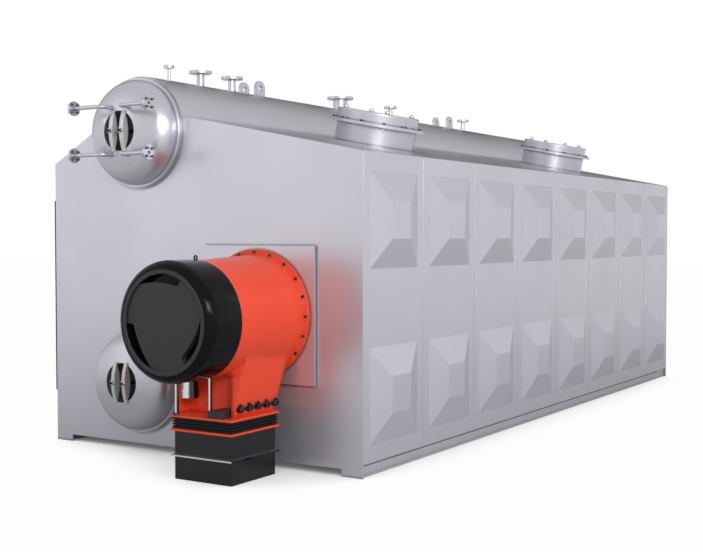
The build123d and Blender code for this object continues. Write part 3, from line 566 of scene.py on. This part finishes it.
def lifting_eye(bm):
    foot = spot(BURNER_X, EYE_Y, EYE_BASE_Z)
    turn(bm, [(0, 0), (20 * MM, 0), (20 * MM, 8 * MM), (10 * MM, 16 * MM), (0, 16 * MM)], foot)
    bar = [(EYE_RING + EYE_BAR * math.cos(a), EYE_BAR * math.sin(a)) for a in
           [math.tau * step / 12 for step in range(12)]]
    centre = spot(BURNER_X, EYE_Y, EYE_BASE_Z + 14 + EYE_RING)
    turn(bm, [(r * MM, h * MM) for r, h in bar], centre, (0, 1, 0), sides=32, closed=True)


make_piece("lifting_eye", lifting_eye, "black_steel")

# %% [markdown]
# The hood is spun from sheet, which leaves a soft round nose. The solid has a tighter nose, so this turned
# shell takes its place: the side, most of a quarter round, a step for the ring and the mouth behind it.

# %% Hood shell
HOOD_REAR_Y, HOOD_RADIUS, HOOD_LENGTH = -850, 474, 380
NOSE_ROUND, STEP_RADIUS, MOUTH_RADIUS = 95, 411, 396
STEP_HEIGHT, MOUTH_FLOOR = 363, 300


NOSE_STEPS = 12


def hood_shell(bm):
    middle = HOOD_RADIUS - NOSE_ROUND
    last = math.acos((STEP_RADIUS - middle) / NOSE_ROUND)
    outline = [(0, 0), (HOOD_RADIUS, 0)]
    for step in range(NOSE_STEPS + 1):
        angle = last * step / NOSE_STEPS
        outline.append((middle + NOSE_ROUND * math.cos(angle),
                        HOOD_LENGTH - NOSE_ROUND + NOSE_ROUND * math.sin(angle)))
    outline += [(STEP_RADIUS, STEP_HEIGHT), (MOUTH_RADIUS, STEP_HEIGHT)]
    outline += [(MOUTH_RADIUS, MOUTH_FLOOR), (0, MOUTH_FLOOR)]
    turn(bm, [(radius * MM, height * MM) for radius, height in outline],
         spot(BURNER_X, HOOD_REAR_Y, BURNER_Z), TOWARDS_FRONT, sides=128)


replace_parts(make_piece("hood_shell", hood_shell, "burner_black"), "burner_hood")

# %% [markdown]
# A grey sealing ring lies in the step round the hood's mouth. It is turned with rounded edges.

# %% Hood ring
HOOD_STEP_Y = HOOD_REAR_Y - STEP_HEIGHT
RING_INSIDE, RING_OUTSIDE, RING_THICKNESS, RING_ROUND = 372, 409, 11, 4


def hood_ring(bm):
    inside, outside = RING_INSIDE * MM, RING_OUTSIDE * MM
    top, rounded = RING_THICKNESS * MM, RING_ROUND * MM
    outline = [(inside, 0), (outside, 0), (outside, top - rounded), (outside - rounded, top),
               (inside + rounded, top), (inside, top - rounded)]
    turn(bm, outline, spot(BURNER_X, HOOD_STEP_Y, BURNER_Z), TOWARDS_FRONT, sides=96, closed=True)


make_piece("hood_ring", hood_ring, "cover_grey")

# %% [markdown]
# Each bright rod stands in a nut on the inlet flange.

# %% Rod nuts
ROD_FEET = ((461, -789), (769, -745))
ROD_NUT_FLATS, ROD_NUT_HEIGHT = 44, 14


def rod_nuts(bm):
    for x, y in ROD_FEET:
        bolt(bm, spot(x, y, INLET_TOP), (0, 0, 1), ROD_NUT_FLATS * MM, ROD_NUT_HEIGHT * MM)


make_piece("rod_nuts", rod_nuts, "black_steel")

# %% [markdown]
# The relief doors on the roof lift if the furnace over-presses. Hexagon bolts stand round the flange,
# and four round knobs on the lid take the lifting gear. A door stands square to the sloping roof.

# %% Relief door bolts and knobs
ROOF_ANGLE = math.atan(0.20)
DOOR_UP = Vector((math.sin(ROOF_ANGLE), 0, math.cos(ROOF_ANGLE)))
DOOR_OUT = Vector((math.cos(ROOF_ANGLE), 0, -math.sin(ROOF_ANGLE)))
DOOR_X, DOOR_ROOF_Z = 690, 2836
DOOR_YS = (1870, 6330)
DOOR_FLANGE_TOP, DOOR_LID_TOP = 209, 314
DOOR_BOLT_CIRCLE, DOOR_BOLT_COUNT, DOOR_BOLT_TURN = 433, 12, 0.35
DOOR_BOLT_FLATS, DOOR_BOLT_HEIGHT = 24, 15
KNOB_CIRCLE, KNOB_COUNT = 330, 4
KNOB_OUTLINE = ((0, 0), (24, 0), (24, 10), (20, 24), (12, 30), (0, 32))


def door_spot(door_y, radius, angle, height):
    along = DOOR_OUT * math.cos(angle) + Vector((0, 1, 0)) * math.sin(angle)
    return spot(DOOR_X, door_y, DOOR_ROOF_Z) + along * radius * MM + DOOR_UP * height * MM


def door_bolts(bm):
    for door_y in DOOR_YS:
        for number in range(DOOR_BOLT_COUNT):
            angle = math.tau * (number + DOOR_BOLT_TURN) / DOOR_BOLT_COUNT
            at = door_spot(door_y, DOOR_BOLT_CIRCLE, angle, DOOR_FLANGE_TOP)
            bolt(bm, at, DOOR_UP, DOOR_BOLT_FLATS * MM, DOOR_BOLT_HEIGHT * MM, number)


def door_knobs(bm):
    for door_y in DOOR_YS:
        for number in range(KNOB_COUNT):
            at = door_spot(door_y, KNOB_CIRCLE, math.tau * (number + 0.5) / KNOB_COUNT, DOOR_LID_TOP)
            turn(bm, [(radius * MM, height * MM) for radius, height in KNOB_OUTLINE], at, DOOR_UP)


make_piece("door_bolts", door_bolts, "black_steel")
make_piece("door_knobs", door_knobs, "casing_paint")

# %% [markdown]
# A manhole cover is pulled shut from outside by two arched yokes. A nut on each yoke's stud does the pulling.

# %% Yoke nuts
DRUM_X = -640
YOKE_OFFSET = 62
STEAM_YOKE = (2874, -317)
WATER_YOKE = (644, -310)
DRUM_MIDDLE_Y = 4222.5
YOKE_NUT_FLATS, YOKE_NUT_HEIGHT = 38 * MM, 16 * MM


def yoke_nuts(bm):
    for z, front_y in (STEAM_YOKE, WATER_YOKE):
        for side in (-1, 1):
            x = DRUM_X + side * YOKE_OFFSET
            rear_y = 2 * DRUM_MIDDLE_Y - front_y
            bolt(bm, spot(x, front_y, z), TOWARDS_FRONT, YOKE_NUT_FLATS, YOKE_NUT_HEIGHT, side)
            bolt(bm, spot(x, rear_y, z), (0, 1, 0), YOKE_NUT_FLATS, YOKE_NUT_HEIGHT, side)


make_piece("yoke_nuts", yoke_nuts, "bright_steel")

# %% [markdown]
# The level gauges hang between the flanges on the drum's front head. Here the flanges are open, with their
# stud bolts left in: a rod through each hole and a nut on both sides.

# %% Gauge flange studs
GAUGE_REACH, GAUGE_RISE, GAUGE_Y = 450, 210, -378
GAUGE_FLANGE, GAUGE_BOLT_CIRCLE = 18, 48
STUD_RADIUS, STUD_OVERHANG, STUD_NUT = 6, 26, 19


def gauge_stud(bm, at, side):
    """A stud through a flange whose outer face is at the given place; side is the way that it faces."""
    axis = Vector((side, 0, 0))
    back = at - axis * GAUGE_FLANGE * MM
    long = (GAUGE_FLANGE + 2 * STUD_OVERHANG) * MM
    radius, tip = STUD_RADIUS * MM, 2 * MM
    edge = [(radius - tip, 0), (radius, tip), (radius, long - tip), (radius - tip, long)]
    outline = [(0, 0), *edge, (0, long)]
    turn(bm, outline, back - axis * STUD_OVERHANG * MM, axis, sides=12)
    bolt(bm, at, axis, STUD_NUT * MM, 10 * MM)
    bolt(bm, back, -axis, STUD_NUT * MM, 10 * MM)


def gauge_studs(bm):
    for side in (-1, 1):
        for up in (-1, 1):
            for number in range(4):
                angle = math.tau * (number + 0.5) / 4
                at = spot(DRUM_X + side * GAUGE_REACH, GAUGE_Y + GAUGE_BOLT_CIRCLE * math.cos(angle),
                          STEAM_YOKE[0] + up * GAUGE_RISE + GAUGE_BOLT_CIRCLE * math.sin(angle))
                gauge_stud(bm, at, side)


make_piece("gauge_studs", gauge_studs, "tube_steel")

# %% [markdown]
# ## Welds
# Nozzles are welded to the drum all round. The bead follows the saddle where a pipe meets a cylinder,
# and its ripples are the places where the welder paused. A small tube swept along the line makes it.

# %% Weld beads
def bead(bm, points, width, ripple=4, sides=6):
    rings = []
    for number, point in enumerate(points):
        ahead = (points[(number + 1) % len(points)] - points[number - 1]).normalized()
        across = ahead.cross(Vector((0, 0, 1))).normalized()
        up = across.cross(ahead)
        size = width * (0.85 + 0.15 * math.cos(math.tau * number / ripple))
        angles = [math.tau * step / sides for step in range(sides)]
        rings.append([bm.verts.new(point + (across * math.cos(a) + up * math.sin(a)) * size) for a in angles])
    for low, high in zip(rings, rings[1:] + rings[:1]):
        for step in range(sides):
            bm.faces.new((low[step], low[(step + 1) % sides], high[(step + 1) % sides], high[step]))


STEAM_DRUM_Z, STEAM_DRUM_RADIUS = 2874, 508
NOZZLES = ((397, 14), (850, 36), (1336, 36), (3330, 80), (4464, 25), (6425, 25))


def nozzle_welds(bm):
    for y, radius in NOZZLES:
        count = 4 * max(8, round(radius * 0.4))
        points = []
        for step in range(count):
            x = (radius + 2) * math.cos(math.tau * step / count)
            along = (radius + 2) * math.sin(math.tau * step / count)
            top = STEAM_DRUM_Z + math.sqrt(STEAM_DRUM_RADIUS ** 2 - x ** 2) + 1
            points.append(spot(DRUM_X + x, y + along, top))
        bead(bm, points, 6 * MM)


make_piece("nozzle_welds", nozzle_welds, "drum_paint", crease=60)

# %% [markdown]
# The picture shows a thin dark edge past the left wall. It is read as the rope gasket of the flue flange,
# which bulges out all round when the bolts are drawn up. A round bar bent to a frame makes it.

# %% Flue gasket
FLUE_X, FLUE_EDGES = -1844, ((120, 470), (880, 470), (880, 2270), (120, 2270))
ROPE_RADIUS, ROPE_PROUD, ROPE_SIDES = 6, 9, 12


def flue_gasket(bm):
    middle_y = (FLUE_EDGES[0][0] + FLUE_EDGES[1][0]) / 2
    middle_z = (FLUE_EDGES[0][1] + FLUE_EDGES[2][1]) / 2
    rings = []
    for y, z in FLUE_EDGES:
        out_y, out_z = math.copysign(1, y - middle_y), math.copysign(1, z - middle_z)
        ring = []
        for step in range(ROPE_SIDES):
            angle = math.tau * step / ROPE_SIDES
            out = ROPE_PROUD + ROPE_RADIUS * math.sin(angle)
            x = FLUE_X + ROPE_RADIUS * math.cos(angle)
            ring.append(bm.verts.new(spot(x, y + out_y * out, z + out_z * out)))
        rings.append(ring)
    for low, high in zip(rings, rings[1:] + rings[:1]):
        for step in range(ROPE_SIDES):
            after = (step + 1) % ROPE_SIDES
            bm.faces.new((low[step], low[after], high[after], high[step]))


make_piece("flue_gasket", flue_gasket, "flue_black", crease=60)

# %% [markdown]
# ## Studio
# The picture was taken in a white studio: a pale floor runs into a white background, and most of the light
# comes from a wide window to the right. The floor shows white to the camera but keeps the boiler's shadow,
# because only part of its light is its own. What the paint mirrors of the floor is painted shade: set dark
# beside the boiler and brighter a few metres off, because the picture's paint shows it so.

# %% Floor
FLOOR_GLOW = 0.975
MIRRORED_NEAR, MIRRORED_FAR, MIRRORED_REACH = 0.10, 0.70, 8.5
CONTACT_REACH = 1.4


def seen_directly(tree):
    """1 for rays from the camera and from mirrors or glass, 0 for the soft light between surfaces."""
    rays = tree.nodes.new("ShaderNodeLightPath")
    seen = calculate(tree, "MAXIMUM", rays.outputs["Is Camera Ray"], rays.outputs["Is Glossy Ray"])
    return calculate(tree, "MAXIMUM", seen, rays.outputs["Is Transmission Ray"])


def away_from_boiler(tree):
    """How many metres a place on the floor is outside the boiler's box."""
    place = tree.nodes.new("ShaderNodeSeparateXYZ")
    tree.links.new(tree.nodes.new("ShaderNodeNewGeometry").outputs["Position"], place.inputs[0])
    squares = []
    for axis in (0, 1):
        middle, half = (cad_low[axis] + cad_high[axis]) / 2, (cad_high[axis] - cad_low[axis]) / 2
        off = calculate(tree, "ABSOLUTE", calculate(tree, "SUBTRACT", place.outputs[axis], middle))
        outside = calculate(tree, "MAXIMUM", calculate(tree, "SUBTRACT", off, half), 0.0)
        squares.append(calculate(tree, "MULTIPLY", outside, outside))
    return calculate(tree, "SQRT", calculate(tree, "ADD", *squares))


def make_floor():
    bpy.ops.mesh.primitive_plane_add(size=120, location=(0, 0, 0))
    floor = bpy.context.object
    floor.name = "studio_floor"
    finish = bpy.data.materials.new("studio_floor")
    finish.use_nodes = True
    tree = finish.node_tree
    tree.nodes.clear()
    open_sky = add_node(tree, "ShaderNodeAmbientOcclusion", Distance=CONTACT_REACH).outputs["AO"]
    open_share = fade(tree, open_sky, -0.05, 0.64)
    # Painted shade: the floor as the paint mirrors it is darker beside the boiler.
    mirrored = fade(tree, away_from_boiler(tree), 0.0, MIRRORED_REACH, MIRRORED_NEAR, MIRRORED_FAR)
    rays = tree.nodes.new("ShaderNodeLightPath")
    strength = fade(tree, rays.outputs["Is Camera Ray"], 0.0, 1.0, mirrored, FLOOR_GLOW)
    share = calculate(tree, "MULTIPLY", open_share, strength)
    share = calculate(tree, "MULTIPLY", share, seen_directly(tree))
    paper = add_node(tree, "ShaderNodeBsdfDiffuse", Color=(0.62, 0.62, 0.63, 1))
    glow = add_node(tree, "ShaderNodeEmission", Color=(1, 1, 1, 1), Strength=1.0)
    blend = tree.nodes.new("ShaderNodeMixShader")
    tree.links.new(share, blend.inputs[0])
    tree.links.new(paper.outputs[0], blend.inputs[1])
    tree.links.new(glow.outputs[0], blend.inputs[2])
    leave = tree.nodes.new("ShaderNodeOutputMaterial")
    tree.links.new(blend.outputs[0], leave.inputs["Surface"])
    floor.data.materials.append(finish)
    return floor


print("floor", make_floor().name)

# %% [markdown]
# The world is white, because the camera sees it as the background. Two things are taken from what the paint
# mirrors: the ceiling is a little greyer, and a dark flag hangs high behind the boiler. Photographers use
# such a flag to draw the upper edge of a shiny round thing against white. Diffuse light is held back,
# so that the lamps give the boiler its form.

# %% World
WORLD_FILL = 0.55
CEILING = 0.82
FLAG_TOWARDS = (-0.534, 0.845, 0.0)
FLAG_DARKNESS = 1.0


def make_world():
    world = bpy.data.worlds.new("studio")
    world.use_nodes = True
    tree = world.node_tree
    tree.nodes.clear()
    rays = tree.nodes.new("ShaderNodeLightPath")
    direction = tree.nodes.new("ShaderNodeTexCoord").outputs["Generated"]
    parts = tree.nodes.new("ShaderNodeSeparateXYZ")
    tree.links.new(direction, parts.inputs[0])
    likeness = tree.nodes.new("ShaderNodeVectorMath")
    likeness.operation = "DOT_PRODUCT"
    tree.links.new(direction, likeness.inputs[0])
    likeness.inputs[1].default_value = FLAG_TOWARDS
    flag = calculate(tree, "MULTIPLY", fade(tree, likeness.outputs["Value"], 0.55, 0.95),
                     fade(tree, parts.outputs["Z"], 0.02, 0.10))
    mirrored = fade(tree, parts.outputs["Z"], 0.10, 0.50, 1.0, CEILING)
    mirrored = calculate(tree, "MULTIPLY", mirrored, fade(tree, flag, 0.0, 1.0, 1.0, 1.0 - FLAG_DARKNESS))
    strength = fade(tree, seen_directly(tree), 0.0, 1.0, WORLD_FILL, mirrored)
    strength = calculate(tree, "MAXIMUM", strength, rays.outputs["Is Camera Ray"])
    background = add_node(tree, "ShaderNodeBackground", Color=(1, 1, 1, 1), Strength=strength)
    leave = tree.nodes.new("ShaderNodeOutputWorld")
    tree.links.new(background.outputs[0], leave.inputs["Surface"])
    bpy.context.scene.world = world
    return world


print("world", make_world().name)

# %% [markdown]
# The bright spots on the drum head and on the hood tell where the light is: about 60 degrees round to the
# right and 20 degrees up, wide and low like a window, with two brighter panes in it. A faint large
# softbox to the front left lifts the front wall, and one above it lights the upper part of the drum head.

# %% Lamps
def lamp(name, place, target, width, height, power):
    data = bpy.data.lights.new(name, "AREA")
    data.shape = "RECTANGLE"
    data.size, data.size_y = width, height
    data.energy = power
    light = bpy.data.objects.new(name, data)
    light.location = place
    light.rotation_euler = (Vector(target) - Vector(place)).to_track_quat("-Z", "Y").to_euler()
    bpy.context.scene.collection.objects.link(light)
    return light


lamp("window", spot(13100, -7560, 7200), spot(0, 0, 2000), 17.0, 5.5, 700)
lamp("left_pane", spot(9300, -8000, 5800), spot(700, -1150, 1300), 1.5, 2.6, 230)
lamp("right_pane", spot(10700, -6200, 5800), spot(700, -1150, 1300), 1.5, 2.6, 230)
lamp("softbox", spot(-10800, -11000, 5000), spot(-600, 0, 1800), 8.0, 10.0, 70)
lamp("crown_box", spot(-10000, -11500, 8500), spot(-640, -300, 2900), 8.0, 5.0, 60)
print("five lamps")

# %% [markdown]
# The camera stands to the right of the front, at the height of a raised tripod, with a lens of about 59 mm on
# a frame 36 mm wide. Its place is counted from the casing's front right corner at the floor.

# %% Camera
CAMERA_FROM_CORNER = Vector((4.819, -7.799, 1.957))
CAMERA_YAW, CAMERA_PITCH_DOWN = 32.27, 2.04

lens = bpy.data.cameras.new("camera")
lens.sensor_fit = "HORIZONTAL"
lens.sensor_width = 36
lens.lens = 59.01
camera = bpy.data.objects.new("camera", lens)
camera.location = Vector((wall_high.x, wall_low.y, 0)) + CAMERA_FROM_CORNER
camera.rotation_euler = (math.radians(90 - CAMERA_PITCH_DOWN), 0, math.radians(CAMERA_YAW))
bpy.context.scene.collection.objects.link(camera)
bpy.context.scene.camera = camera
bpy.context.scene.view_settings.view_transform = "Standard"
print("camera at", [round(v, 3) for v in camera.location])
